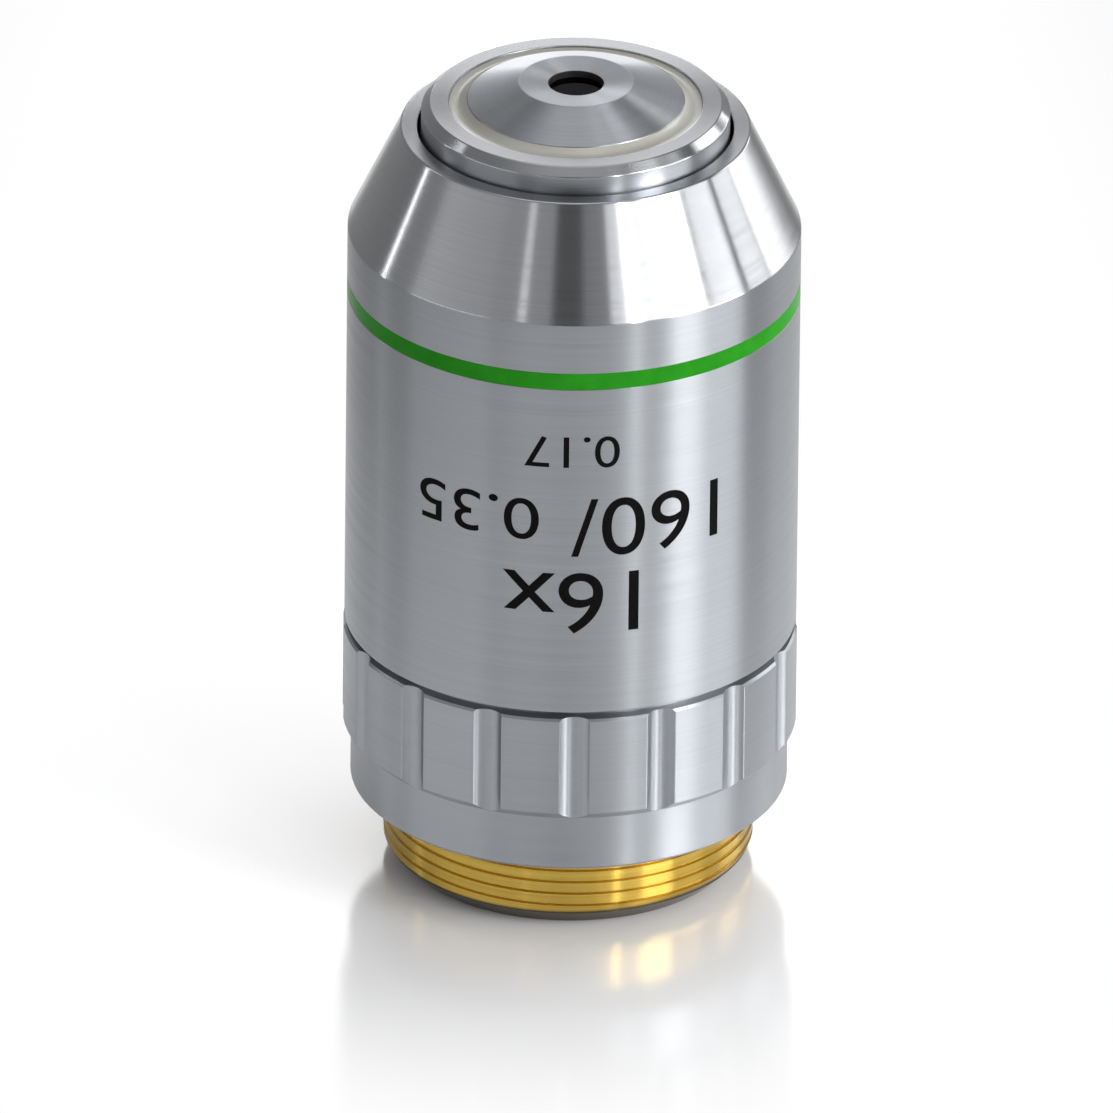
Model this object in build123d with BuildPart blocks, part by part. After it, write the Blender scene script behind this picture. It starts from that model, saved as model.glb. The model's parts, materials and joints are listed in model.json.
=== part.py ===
from build123d import *
from math import sqrt
import os

# A microscope objective with a sprung, sliding nose, in millimetres.
# The origin is the centre of the seating shoulder, and +Z points to the front lens.

# Fits between pieces
slide_fit = 0.05
seat_fit = 0.02
cement_film = 0.01
nose_gap = 0.2
travel = 2.0

# Radii, from the lens cells outwards
cell_bore = 7.0
nose_wall = 1.44
stop_step = 0.96
land_relief = 0.4
tube_wall = 1.15
sleeve_gap = 0.5
sleeve_wall = 1.3
grip_proud = 0.06
grip_step = 0.46
neck_depth = 0.7

# Mounting thread bush, turned to the crests of its thread
thread_radius = 10.16
thread_length = 4.6
thread_lead = 1.05
relief_depth = 0.55
relief_width = 0.45
seat_recess = 0.2
seat_clear_share = 0.1
bush_step = 0.86
bush_wall = 1.3
bush_depth = 3.0

# Grip with sixteen round flutes
ring_height = 3.22
ring_edge = 0.2
grip_flare = 0.48
grip_height = 5.62
grip_bevel = 0.13
neck_height = 0.42
flute_count = 16
flute_depth = 0.42
flute_cutter = 1.05

# Spring seat, sleeve seat and guide tube
web_height = 1.0
web_lip = 1.65
spigot_length = 4.6
tube_drop = 0.3
stop_inset = 0.2
stop_height = 2.0
stop_ledge = 0.6

# Sleeve and its colour band
sleeve_length = 23.63
cone_height = 6.05
mouth_lip = 0.91
band_width = 1.0
band_depth = 0.15
band_drop = 2.9

# Spring
spring_wire = 0.7
spring_pitch = 1.25
spring_side = 0.35
coil_sections = 16

# Guide screw in the tube, with its point in the barrel's slot
screw_drop = 4.4
screw_radius = 0.8
screw_sink = 0.05
screw_slit = 0.25
screw_slit_depth = 0.3
point_radius = 0.55
slot_depth = 0.8
point_end_gap = 0.15

# Nose barrel
nose_reach = 1.45
nose_bevel = 0.46
rim_width = 1.06
rim_depth = 1.0
lip_height = 1.5
foot_skirt = 2.5
upper_land = 6.0
lower_land = 5.5

# Front cell and its cement
cement_width = 0.98
cement_sink = 0.1
cement_hollow = 0.06
flange_height = 2.5
shank_rise = 0.18
tip_rise = 1.26
tip_radius = 3.15
dish_depth = 0.12
pupil_radius = 1.5
front_seat_drop = 0.5
front_mouth_radius = 4.6

# Lens cells
cell_ledge = 0.5
cell_headroom = 0.25
spacer_height = 1.0
spacer_bore = 4.8
long_spacer_height = 2.5
stop_plate = 0.5
stop_hole = 3.6
retainer_height = 2.5
retainer_bore = 5.2
retainer_slot = 1.2
retainer_slot_depth = 0.8

# Lenses: rim radius, surface radii, edge or middle thickness, lift above the cell's foot
front_rim = 2.28
front_edge = 1.75
front_curve = 3.0
meniscus_rim = 3.6
meniscus_middle = 1.8
meniscus_front_curve = 9.0
meniscus_rear_curve = 5.2
meniscus_lift = 0.7
doublet_rim = 4.4
doublet_crown_edge = 0.64
doublet_flint_middle = 1.0
doublet_front_curve = 12.0
doublet_cement_curve = 8.5
doublet_rear_curve = 30.0
doublet_lift = 0.1
triplet_rim = 4.6
triplet_crown_edge = 0.45
triplet_flint_middle = 0.7
triplet_outer_curve = 14.0
triplet_cement_curve = 9.0
triplet_lift = 0.2
rear_rim = 4.4
rear_crown_edge = 0.45
rear_flint_middle = 1.0
rear_front_curve = 30.0
rear_cement_curve = 8.5
rear_back_curve = 12.0
rear_lift = 0.2


def sag(curve, radius):
    """Depth of a spherical cap with the given surface radius out to the given rim."""
    return curve - sqrt(curve**2 - radius**2)


# Radii that follow
cell_radius = cell_bore - seat_fit
nose_radius = cell_bore + nose_wall
mouth_radius = nose_radius + nose_gap
land_radius = nose_radius + stop_step
guide_bore = land_radius + slide_fit
tube_radius = guide_bore + tube_wall
stop_bore = guide_bore + stop_ledge
sleeve_bore = tube_radius + sleeve_gap
sleeve_radius = sleeve_bore + sleeve_wall
cone_top_radius = mouth_radius + mouth_lip
grip_radius = sleeve_radius + grip_proud
ring_radius = grip_radius - grip_step
neck_radius = sleeve_radius - neck_depth
bush_radius = thread_radius - bush_step
seat_edge = ring_radius - ring_edge
recess_radius = thread_radius + seat_clear_share * (seat_edge - thread_radius)
light_bore = bush_radius - bush_wall
web_bore = guide_bore - web_lip
rim_bore = nose_radius - nose_bevel - rim_width
shank_radius = rim_bore - cement_width

# Heights of the fixed pieces above the shoulder
flare_top = ring_height + grip_flare
grip_edge = flare_top + grip_height
grip_top = grip_edge + grip_bevel
sleeve_foot = grip_top + neck_height
spigot_top = sleeve_foot + spigot_length
cone_foot = sleeve_foot + sleeve_length
sleeve_top = cone_foot + cone_height
band_top = cone_foot - band_drop
band_foot = band_top - band_width
web_top = bush_depth + web_height
tube_top = cone_foot - tube_drop
stop_top = tube_top - stop_inset
stop_foot = stop_top - stop_height
screw_height = stop_foot - screw_drop

# Lens group heights, from rear vertex to front vertex
front_middle = front_edge + sag(front_curve, front_rim)
doublet_crown_middle = (
    doublet_crown_edge
    + sag(doublet_front_curve, doublet_rim)
    + sag(doublet_cement_curve, doublet_rim)
)
triplet_crown_middle = triplet_crown_edge + 2 * sag(triplet_cement_curve, triplet_rim)
rear_crown_middle = (
    rear_crown_edge + sag(rear_cement_curve, rear_rim) + sag(rear_back_curve, rear_rim)
)
meniscus_group = meniscus_middle + sag(meniscus_front_curve, meniscus_rim)
doublet_group = doublet_flint_middle + cement_film + doublet_crown_middle
triplet_group = 2 * (triplet_flint_middle + cement_film) + triplet_crown_middle
rear_group = rear_crown_middle + cement_film + rear_flint_middle

# Heights of the sliding pieces at rest, from the nose down through the stack
nose_top = sleeve_top + nose_reach
tip_top = nose_top + tip_rise
shank_top = nose_top + shank_rise
cement_foot = nose_top - rim_depth
lip_foot = cement_foot - lip_height
flange_foot = lip_foot - flange_height
meniscus_foot = flange_foot - cell_headroom - meniscus_group - meniscus_lift
doublet_foot = meniscus_foot - cell_headroom - doublet_group - doublet_lift
spacer_foot = doublet_foot - spacer_height
triplet_foot = spacer_foot - cell_headroom - triplet_group - triplet_lift
long_spacer_foot = triplet_foot - long_spacer_height
rear_foot = long_spacer_foot - cell_headroom - rear_group - rear_lift
stop_plate_foot = rear_foot - stop_plate
retainer_foot = stop_plate_foot - retainer_height
barrel_foot = retainer_foot - foot_skirt
lower_land_top = barrel_foot + lower_land
upper_land_foot = stop_foot - upper_land

# Lens vertices
front_seat = tip_top - front_seat_drop
front_vertex = front_seat - front_middle
meniscus_vertex = meniscus_foot + meniscus_lift
doublet_vertex = doublet_foot + doublet_lift
doublet_joint = doublet_vertex + doublet_flint_middle
triplet_vertex = triplet_foot + triplet_lift
triplet_rear_joint = triplet_vertex + triplet_flint_middle
triplet_front_joint = triplet_rear_joint + cement_film + triplet_crown_middle
rear_vertex = rear_foot + rear_lift
rear_joint = rear_vertex + rear_crown_middle

# Guide screw and spring
slot_floor = land_radius - slot_depth
screw_inner = guide_bore + screw_sink
screw_outer = tube_radius - screw_sink
point_inner = slot_floor + point_end_gap
spring_radius = guide_bore - spring_side - spring_wire / 2
spring_length = barrel_foot - web_top
coil_height = spring_length - spring_wire
coil_steps = round(coil_sections * coil_height / spring_pitch)


def surface(vertex, curve, rim, bend):
    """Draw a lens surface from the axis to its rim; bend +1 rises outwards, -1 falls."""
    middle = (rim / 2, vertex + bend * sag(curve, rim / 2))
    ThreePointArc((0, vertex), middle, (rim, vertex + bend * sag(curve, rim)))


def lens_edges(rear, front, rim, rear_rim_height, front_rim_height):
    """Draw the axis line and the ground rim between two lens surfaces."""
    Line((0, rear), (0, front))
    Line((rim, rear_rim_height), (rim, front_rim_height))


def cell_section(foot, top, lens_rim, ledge_height):
    """Draw the half section of a lens cell whose ledge carries the rear lens surface."""
    opening = lens_rim - cell_ledge
    seat = lens_rim + seat_fit
    Polyline(
        (opening, foot),
        (cell_radius, foot),
        (cell_radius, top),
        (seat, top),
        (seat, ledge_height),
        (opening, ledge_height),
        close=True,
    )


def ring_section(inner, outer, foot, top):
    """Draw the half section of a plain ring."""
    Polyline((inner, foot), (outer, foot), (outer, top), (inner, top), close=True)


os.makedirs("parts", exist_ok=True)

# Brass bush with the mounting thread, screwed into the grip body
with BuildPart() as mount_thread:
    with BuildSketch(Plane.XZ):
        with BuildLine():
            Polyline(
                (light_bore, -thread_length),
                (thread_radius - thread_lead, -thread_length),
                (thread_radius, thread_lead - thread_length),
                (thread_radius, -relief_width),
                (thread_radius - relief_depth, -relief_width),
                (thread_radius - relief_depth, seat_recess),
                (bush_radius, seat_recess),
                (bush_radius, bush_depth),
                (light_bore, bush_depth),
                close=True,
            )
        make_face()
    revolve(axis=Axis.Z)
mount_thread.part.label = "mount_thread"
export_step(mount_thread.part, "parts/mount_thread.step")

# Grip, sleeve seat and guide tube, turned as one piece and then fluted
with BuildPart() as grip_body:
    with BuildSketch(Plane.XZ):
        with BuildLine():
            Polyline(
                (bush_radius + seat_fit, seat_recess),
                (recess_radius, seat_recess),
                (recess_radius, 0),
                (seat_edge, 0),
                (ring_radius, ring_edge),
                (ring_radius, ring_height),
                (grip_radius, flare_top),
                (grip_radius, grip_edge),
                (grip_radius - grip_bevel, grip_top),
                (neck_radius, grip_top),
                (neck_radius, sleeve_foot),
                (sleeve_bore - seat_fit, sleeve_foot),
                (sleeve_bore - seat_fit, spigot_top),
                (tube_radius, spigot_top),
                (tube_radius, tube_top),
                (stop_bore, tube_top),
                (stop_bore, stop_foot),
                (guide_bore, stop_foot),
                (guide_bore, web_top),
                (web_bore, web_top),
                (web_bore, bush_depth),
                (bush_radius + seat_fit, bush_depth),
                close=True,
            )
        make_face()
    revolve(axis=Axis.Z)
    with BuildSketch(Plane.XY.offset(ring_height)):
        with PolarLocations(grip_radius - flute_depth + flute_cutter, flute_count, start_angle=-90):
            Circle(flute_cutter)
    extrude(amount=sleeve_foot - ring_height, mode=Mode.SUBTRACT)
    with BuildSketch(Plane.XZ.offset(land_radius)):
        with Locations((0, screw_height)):
            Circle(screw_radius + seat_fit)
    extrude(amount=tube_radius - land_radius, mode=Mode.SUBTRACT)
grip_body.part.label = "grip_body"
export_step(grip_body.part, "parts/grip_body.step")

# Outer sleeve with its cone and the groove for the colour band
cone_slope = cone_height / (sleeve_radius - cone_top_radius)
cone_wall = sleeve_wall * sqrt(1 + 1 / cone_slope**2)
bore_top = cone_foot + (sleeve_radius - cone_wall - sleeve_bore) * cone_slope
mouth_foot = cone_foot + (sleeve_radius - cone_wall - mouth_radius) * cone_slope
with BuildPart() as outer_sleeve:
    with BuildSketch(Plane.XZ):
        with BuildLine():
            Polyline(
                (sleeve_bore, sleeve_foot),
                (sleeve_radius, sleeve_foot),
                (sleeve_radius, band_foot),
                (sleeve_radius - band_depth, band_foot),
                (sleeve_radius - band_depth, band_top),
                (sleeve_radius, band_top),
                (sleeve_radius, cone_foot),
                (cone_top_radius, sleeve_top),
                (mouth_radius, sleeve_top),
                (mouth_radius, mouth_foot),
                (sleeve_bore, bore_top),
                close=True,
            )
        make_face()
    revolve(axis=Axis.Z)
outer_sleeve.part.label = "outer_sleeve"
export_step(outer_sleeve.part, "parts/outer_sleeve.step")

# Enamel band that fills the sleeve's groove
with BuildPart() as colour_band:
    with BuildSketch(Plane.XZ):
        with BuildLine():
            ring_section(sleeve_radius - band_depth + cement_film, sleeve_radius, band_foot, band_top)
        make_face()
    revolve(axis=Axis.Z)
colour_band.part.label = "colour_band"
export_step(colour_band.part, "parts/colour_band.step")

# Ring in the tube's mouth that stops the barrel
with BuildPart() as stop_ring:
    with BuildSketch(Plane.XZ):
        with BuildLine():
            ring_section(mouth_radius, stop_bore - seat_fit, stop_foot, stop_top)
        make_face()
    revolve(axis=Axis.Z)
stop_ring.part.label = "stop_ring"
export_step(stop_ring.part, "parts/stop_ring.step")

# Spring between the web and the barrel's foot
with BuildPart() as nose_spring:
    with BuildLine() as coil:
        Helix(
            pitch=spring_pitch,
            height=coil_height,
            radius=spring_radius,
            center=(0, 0, web_top + spring_wire / 2),
        )
    for step in range(coil_steps + 1):
        point = coil.line @ (step / coil_steps)
        along = coil.line % (step / coil_steps)
        with BuildSketch(Plane(origin=point, x_dir=(point.X, point.Y, 0), z_dir=along)):
            Circle(spring_wire / 2)
    loft(ruled=True)
nose_spring.part.label = "nose_spring"
export_step(nose_spring.part, "parts/nose_spring.step")

# Guide screw: its point runs in the barrel's slot and keeps the barrel from turning
with BuildPart() as guide_screw:
    with BuildSketch(Plane.XZ.offset(point_inner)):
        with Locations((0, screw_height)):
            Circle(point_radius)
    extrude(amount=screw_inner - point_inner)
    with BuildSketch(Plane.XZ.offset(screw_inner)):
        with Locations((0, screw_height)):
            Circle(screw_radius)
    extrude(amount=screw_outer - screw_inner)
    with BuildSketch(Plane.XZ.offset(screw_outer)):
        with Locations((0, screw_height)):
            Rectangle(2 * screw_radius, screw_slit)
    extrude(amount=-screw_slit_depth, mode=Mode.SUBTRACT)
guide_screw.part.label = "guide_screw"
export_step(guide_screw.part, "parts/guide_screw.step")

# Sliding barrel with two guide lands, the rim and the slot for the guide screw
with BuildPart() as nose_barrel:
    with BuildSketch(Plane.XZ):
        with BuildLine():
            Polyline(
                (cell_bore, barrel_foot),
                (land_radius, barrel_foot),
                (land_radius, lower_land_top),
                (land_radius - land_relief, lower_land_top),
                (land_radius - land_relief, upper_land_foot),
                (land_radius, upper_land_foot),
                (land_radius, stop_foot),
                (nose_radius, stop_foot),
                (nose_radius, nose_top - nose_bevel),
                (nose_radius - nose_bevel, nose_top),
                (rim_bore, nose_top),
                (rim_bore, cement_foot),
                (shank_radius + seat_fit, cement_foot),
                (shank_radius + seat_fit, lip_foot),
                (cell_bore, lip_foot),
                close=True,
            )
        make_face()
    revolve(axis=Axis.Z)
    with BuildSketch(Plane.XZ.offset(slot_floor)):
        with Locations((0, screw_height + travel / 2)):
            SlotCenterToCenter(travel + 2 * slide_fit, 2 * (point_radius + slide_fit), rotation=90)
    extrude(amount=slot_depth, mode=Mode.SUBTRACT)
nose_barrel.part.label = "nose_barrel"
export_step(nose_barrel.part, "parts/nose_barrel.step")

# Front cell: flange, shank, cone and dished tip around the front lens
with BuildPart() as front_cell:
    with BuildSketch(Plane.XZ):
        with BuildLine():
            Polyline(
                (front_mouth_radius, flange_foot),
                (cell_radius, flange_foot),
                (cell_radius, lip_foot),
                (shank_radius, lip_foot),
                (shank_radius, shank_top),
                (tip_radius, tip_top),
                (pupil_radius, tip_top - dish_depth),
                (pupil_radius, front_seat),
                (front_rim + seat_fit, front_seat),
                (front_rim + seat_fit, front_vertex),
                close=True,
            )
        make_face()
    revolve(axis=Axis.Z)
front_cell.part.label = "front_cell"
export_step(front_cell.part, "parts/front_cell.step")

# Front lens, flat side out
with BuildPart() as front_lens:
    with BuildSketch(Plane.XZ):
        with BuildLine():
            surface(front_vertex, front_curve, front_rim, 1)
            lens_edges(front_vertex, front_seat, front_rim, front_seat - front_edge, front_seat)
            Line((0, front_seat), (front_rim, front_seat))
        make_face()
    revolve(axis=Axis.Z)
front_lens.part.label = "front_lens"
export_step(front_lens.part, "parts/front_lens.step")

# Cement that fills the gap between the rim and the front cell
with BuildPart() as cement_ring:
    cement_inner = shank_radius + cement_film
    cement_outer = rim_bore - cement_film
    cement_top = nose_top - cement_sink
    with BuildSketch(Plane.XZ):
        with BuildLine():
            Polyline(
                (cement_inner, cement_top),
                (cement_inner, cement_foot),
                (cement_outer, cement_foot),
                (cement_outer, cement_top),
            )
            ThreePointArc(
                (cement_outer, cement_top),
                ((cement_inner + cement_outer) / 2, cement_top - cement_hollow),
                (cement_inner, cement_top),
            )
        make_face()
    revolve(axis=Axis.Z)
cement_ring.part.label = "cement_ring"
export_step(cement_ring.part, "parts/cement_ring.step")

# Meniscus cell and lens
meniscus_ledge = meniscus_vertex + sag(meniscus_rear_curve, meniscus_rim - cell_ledge) - cement_film
with BuildPart() as meniscus_cell:
    with BuildSketch(Plane.XZ):
        with BuildLine():
            cell_section(meniscus_foot, flange_foot, meniscus_rim, meniscus_ledge)
        make_face()
    revolve(axis=Axis.Z)
meniscus_cell.part.label = "meniscus_cell"
export_step(meniscus_cell.part, "parts/meniscus_cell.step")

with BuildPart() as meniscus_lens:
    meniscus_front = meniscus_vertex + meniscus_middle
    with BuildSketch(Plane.XZ):
        with BuildLine():
            surface(meniscus_vertex, meniscus_rear_curve, meniscus_rim, 1)
            surface(meniscus_front, meniscus_front_curve, meniscus_rim, 1)
            lens_edges(
                meniscus_vertex,
                meniscus_front,
                meniscus_rim,
                meniscus_vertex + sag(meniscus_rear_curve, meniscus_rim),
                meniscus_front + sag(meniscus_front_curve, meniscus_rim),
            )
        make_face()
    revolve(axis=Axis.Z)
meniscus_lens.part.label = "meniscus_lens"
export_step(meniscus_lens.part, "parts/meniscus_lens.step")

# Doublet cell, with the flint behind the crown
doublet_ledge = doublet_vertex + sag(doublet_rear_curve, doublet_rim - cell_ledge) - cement_film
with BuildPart() as doublet_cell:
    with BuildSketch(Plane.XZ):
        with BuildLine():
            cell_section(doublet_foot, meniscus_foot, doublet_rim, doublet_ledge)
        make_face()
    revolve(axis=Axis.Z)
doublet_cell.part.label = "doublet_cell"
export_step(doublet_cell.part, "parts/doublet_cell.step")

with BuildPart() as doublet_flint:
    with BuildSketch(Plane.XZ):
        with BuildLine():
            surface(doublet_vertex, doublet_rear_curve, doublet_rim, 1)
            surface(doublet_joint, doublet_cement_curve, doublet_rim, 1)
            lens_edges(
                doublet_vertex,
                doublet_joint,
                doublet_rim,
                doublet_vertex + sag(doublet_rear_curve, doublet_rim),
                doublet_joint + sag(doublet_cement_curve, doublet_rim),
            )
        make_face()
    revolve(axis=Axis.Z)
doublet_flint.part.label = "doublet_flint"
export_step(doublet_flint.part, "parts/doublet_flint.step")

with BuildPart() as doublet_crown:
    crown_rear = doublet_joint + cement_film
    crown_front = crown_rear + doublet_crown_middle
    with BuildSketch(Plane.XZ):
        with BuildLine():
            surface(crown_rear, doublet_cement_curve, doublet_rim, 1)
            surface(crown_front, doublet_front_curve, doublet_rim, -1)
            lens_edges(
                crown_rear,
                crown_front,
                doublet_rim,
                crown_rear + sag(doublet_cement_curve, doublet_rim),
                crown_front - sag(doublet_front_curve, doublet_rim),
            )
        make_face()
    revolve(axis=Axis.Z)
doublet_crown.part.label = "doublet_crown"
export_step(doublet_crown.part, "parts/doublet_crown.step")

# Spacer between the doublet and the triplet
with BuildPart() as spacer_ring:
    with BuildSketch(Plane.XZ):
        with BuildLine():
            ring_section(spacer_bore, cell_radius, spacer_foot, doublet_foot)
        make_face()
    revolve(axis=Axis.Z)
spacer_ring.part.label = "spacer_ring"
export_step(spacer_ring.part, "parts/spacer_ring.step")

# Triplet cell, with a crown between two flints
triplet_ledge = triplet_vertex + sag(triplet_outer_curve, triplet_rim - cell_ledge) - cement_film
with BuildPart() as triplet_cell:
    with BuildSketch(Plane.XZ):
        with BuildLine():
            cell_section(triplet_foot, spacer_foot, triplet_rim, triplet_ledge)
        make_face()
    revolve(axis=Axis.Z)
triplet_cell.part.label = "triplet_cell"
export_step(triplet_cell.part, "parts/triplet_cell.step")

triplet_outer_sag = sag(triplet_outer_curve, triplet_rim)
triplet_cement_sag = sag(triplet_cement_curve, triplet_rim)
with BuildPart() as triplet_rear_flint:
    with BuildSketch(Plane.XZ):
        with BuildLine():
            surface(triplet_vertex, triplet_outer_curve, triplet_rim, 1)
            surface(triplet_rear_joint, triplet_cement_curve, triplet_rim, 1)
            lens_edges(
                triplet_vertex,
                triplet_rear_joint,
                triplet_rim,
                triplet_vertex + triplet_outer_sag,
                triplet_rear_joint + triplet_cement_sag,
            )
        make_face()
    revolve(axis=Axis.Z)
triplet_rear_flint.part.label = "triplet_rear_flint"
export_step(triplet_rear_flint.part, "parts/triplet_rear_flint.step")

with BuildPart() as triplet_crown:
    crown_rear = triplet_rear_joint + cement_film
    crown_front = triplet_front_joint
    with BuildSketch(Plane.XZ):
        with BuildLine():
            surface(crown_rear, triplet_cement_curve, triplet_rim, 1)
            surface(crown_front, triplet_cement_curve, triplet_rim, -1)
            lens_edges(
                crown_rear,
                crown_front,
                triplet_rim,
                crown_rear + triplet_cement_sag,
                crown_front - triplet_cement_sag,
            )
        make_face()
    revolve(axis=Axis.Z)
triplet_crown.part.label = "triplet_crown"
export_step(triplet_crown.part, "parts/triplet_crown.step")

with BuildPart() as triplet_front_flint:
    flint_rear = triplet_front_joint + cement_film
    flint_front = flint_rear + triplet_flint_middle
    with BuildSketch(Plane.XZ):
        with BuildLine():
            surface(flint_rear, triplet_cement_curve, triplet_rim, -1)
            surface(flint_front, triplet_outer_curve, triplet_rim, -1)
            lens_edges(
                flint_rear,
                flint_front,
                triplet_rim,
                flint_rear - triplet_cement_sag,
                flint_front - triplet_outer_sag,
            )
        make_face()
    revolve(axis=Axis.Z)
triplet_front_flint.part.label = "triplet_front_flint"
export_step(triplet_front_flint.part, "parts/triplet_front_flint.step")

# Long spacer between the triplet and the rear doublet
with BuildPart() as long_spacer:
    with BuildSketch(Plane.XZ):
        with BuildLine():
            ring_section(spacer_bore, cell_radius, long_spacer_foot, triplet_foot)
        make_face()
    revolve(axis=Axis.Z)
long_spacer.part.label = "long_spacer"
export_step(long_spacer.part, "parts/long_spacer.step")

# Rear cell, with the crown behind the flint
rear_ledge = rear_vertex + sag(rear_back_curve, rear_rim - cell_ledge) - cement_film
with BuildPart() as rear_cell:
    with BuildSketch(Plane.XZ):
        with BuildLine():
            cell_section(rear_foot, long_spacer_foot, rear_rim, rear_ledge)
        make_face()
    revolve(axis=Axis.Z)
rear_cell.part.label = "rear_cell"
export_step(rear_cell.part, "parts/rear_cell.step")

with BuildPart() as rear_crown:
    with BuildSketch(Plane.XZ):
        with BuildLine():
            surface(rear_vertex, rear_back_curve, rear_rim, 1)
            surface(rear_joint, rear_cement_curve, rear_rim, -1)
            lens_edges(
                rear_vertex,
                rear_joint,
                rear_rim,
                rear_vertex + sag(rear_back_curve, rear_rim),
                rear_joint - sag(rear_cement_curve, rear_rim),
            )
        make_face()
    revolve(axis=Axis.Z)
rear_crown.part.label = "rear_crown"
export_step(rear_crown.part, "parts/rear_crown.step")

with BuildPart() as rear_flint:
    flint_rear = rear_joint + cement_film
    flint_front = flint_rear + rear_flint_middle
    with BuildSketch(Plane.XZ):
        with BuildLine():
            surface(flint_rear, rear_cement_curve, rear_rim, -1)
            surface(flint_front, rear_front_curve, rear_rim, -1)
            lens_edges(
                flint_rear,
                flint_front,
                rear_rim,
                flint_rear - sag(rear_cement_curve, rear_rim),
                flint_front - sag(rear_front_curve, rear_rim),
            )
        make_face()
    revolve(axis=Axis.Z)
rear_flint.part.label = "rear_flint"
export_step(rear_flint.part, "parts/rear_flint.step")

# Plate that limits the light behind the rear lenses
with BuildPart() as aperture_stop:
    with BuildSketch(Plane.XZ):
        with BuildLine():
            ring_section(stop_hole, cell_radius, stop_plate_foot, rear_foot)
        make_face()
    revolve(axis=Axis.Z)
aperture_stop.part.label = "aperture_stop"
export_step(aperture_stop.part, "parts/aperture_stop.step")

# Slotted ring that clamps the stack of cells in the barrel
with BuildPart() as retaining_ring:
    with BuildSketch(Plane.XZ):
        with BuildLine():
            ring_section(retainer_bore, cell_radius, retainer_foot, stop_plate_foot)
        make_face()
    revolve(axis=Axis.Z)
    with BuildSketch(Plane.XY.offset(retainer_foot)):
        Rectangle(2 * cell_bore, retainer_slot)
    extrude(amount=retainer_slot_depth, mode=Mode.SUBTRACT)
retaining_ring.part.label = "retaining_ring"
export_step(retaining_ring.part, "parts/retaining_ring.step")
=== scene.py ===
import json
import math

import bmesh
import bpy
from mathutils import Matrix, Vector

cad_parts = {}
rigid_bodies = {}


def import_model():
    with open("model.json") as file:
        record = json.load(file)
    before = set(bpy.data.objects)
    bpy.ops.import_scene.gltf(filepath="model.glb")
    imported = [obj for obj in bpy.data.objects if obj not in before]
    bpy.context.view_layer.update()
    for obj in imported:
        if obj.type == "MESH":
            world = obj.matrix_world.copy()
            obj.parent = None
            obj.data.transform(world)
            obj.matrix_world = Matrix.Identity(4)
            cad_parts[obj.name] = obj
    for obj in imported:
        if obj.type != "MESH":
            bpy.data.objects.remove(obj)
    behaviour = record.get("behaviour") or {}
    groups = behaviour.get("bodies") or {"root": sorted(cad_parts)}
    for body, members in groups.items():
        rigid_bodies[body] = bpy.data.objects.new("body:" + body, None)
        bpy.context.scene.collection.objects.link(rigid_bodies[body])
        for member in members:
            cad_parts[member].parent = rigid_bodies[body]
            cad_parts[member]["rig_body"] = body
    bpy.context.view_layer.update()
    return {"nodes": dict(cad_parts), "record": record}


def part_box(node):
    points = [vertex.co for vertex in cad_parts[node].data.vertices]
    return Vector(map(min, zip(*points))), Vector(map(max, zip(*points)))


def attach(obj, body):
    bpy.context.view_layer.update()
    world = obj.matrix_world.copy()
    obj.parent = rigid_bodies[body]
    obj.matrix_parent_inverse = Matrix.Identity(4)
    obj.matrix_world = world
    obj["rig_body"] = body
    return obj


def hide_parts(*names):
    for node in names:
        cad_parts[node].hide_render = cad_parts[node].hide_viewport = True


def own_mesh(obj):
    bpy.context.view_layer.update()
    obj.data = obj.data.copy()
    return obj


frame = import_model()
scene = bpy.context.scene
scene.view_settings.view_transform = "Standard"

MM = 0.001

# Outer forms, in millimetres above the seating shoulder
SLEEVE_RADIUS = 12.4
SLEEVE_BORE = 11.1
SLEEVE_FOOT = 9.87
CONE_FOOT = 33.5
CONE_TOP_RADIUS = 9.55
SLEEVE_TOP = 39.55
MOUTH_RADIUS = 8.64
MOUTH_FOOT = 38.43
MOUTH_SHINE = 39.4
BORE_TOP = 33.21
BAND_FOOT = 29.6
BAND_TOP = 30.6
BAND_GROOVE = 0.15
FIT_GAP = 0.01

# Grip ring and its flutes
RING_RADIUS = 12.0
GRIP_RADIUS = 12.46
RING_EDGE = 0.2
RING_HEIGHT = 3.22
FLARE_TOP = 3.7
GRIP_EDGE = 9.32
GRIP_TOP = 9.45
NECK_RADIUS = 11.7
FLUTES = 16
FLUTE_CUTTER = 1.05
FLUTE_DEPTH = 0.42
FLUTE_EASE = 0.025
FLUTE_MARGIN = 1.12
FLUTE_STEPS = 16
LAND_STEPS = 4

# Inner end of the grip body
TUBE_RADIUS = 10.6
TUBE_TOP = 33.2
STOP_BORE = 10.05
STOP_FOOT = 31.0
GUIDE_BORE = 9.45
SPIGOT_RADIUS = 11.08
SPIGOT_TOP = 14.47
WEB_BORE = 7.8
WEB_TOP = 4.0

# Brass bush and its thread
THREAD_RADIUS = 10.16
THREAD_ROOT = 10.03
THREAD_CREST = 0.4
THREAD_BASE = 0.64
RIDGE_SINK = 0.03
RIDGE_ROOT = 0.1
RIDGE_START = 0.35
RIDGE_END = 0.22
RUNOUT_SLOPE = 3.0
# Painted shade at the thread's foot, for the dark floor its lead chamfer faces: where it starts and ends
THREAD_SHADE_TOP = -3.4
THREAD_SHADE_FOOT = -3.6
THREAD_PITCH = 0.7056
THREAD_END = -4.6
THREAD_LEAD = 1.05
RELIEF_RADIUS = 9.61
RELIEF_WIDTH = 0.45
SEAT_RECESS = 0.2
RECESS_RADIUS = 10.32
BUSH_RADIUS = 9.3
BUSH_TOP = 3.0
BUSH_GAP = 0.02
LIGHT_BORE = 8.0

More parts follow.
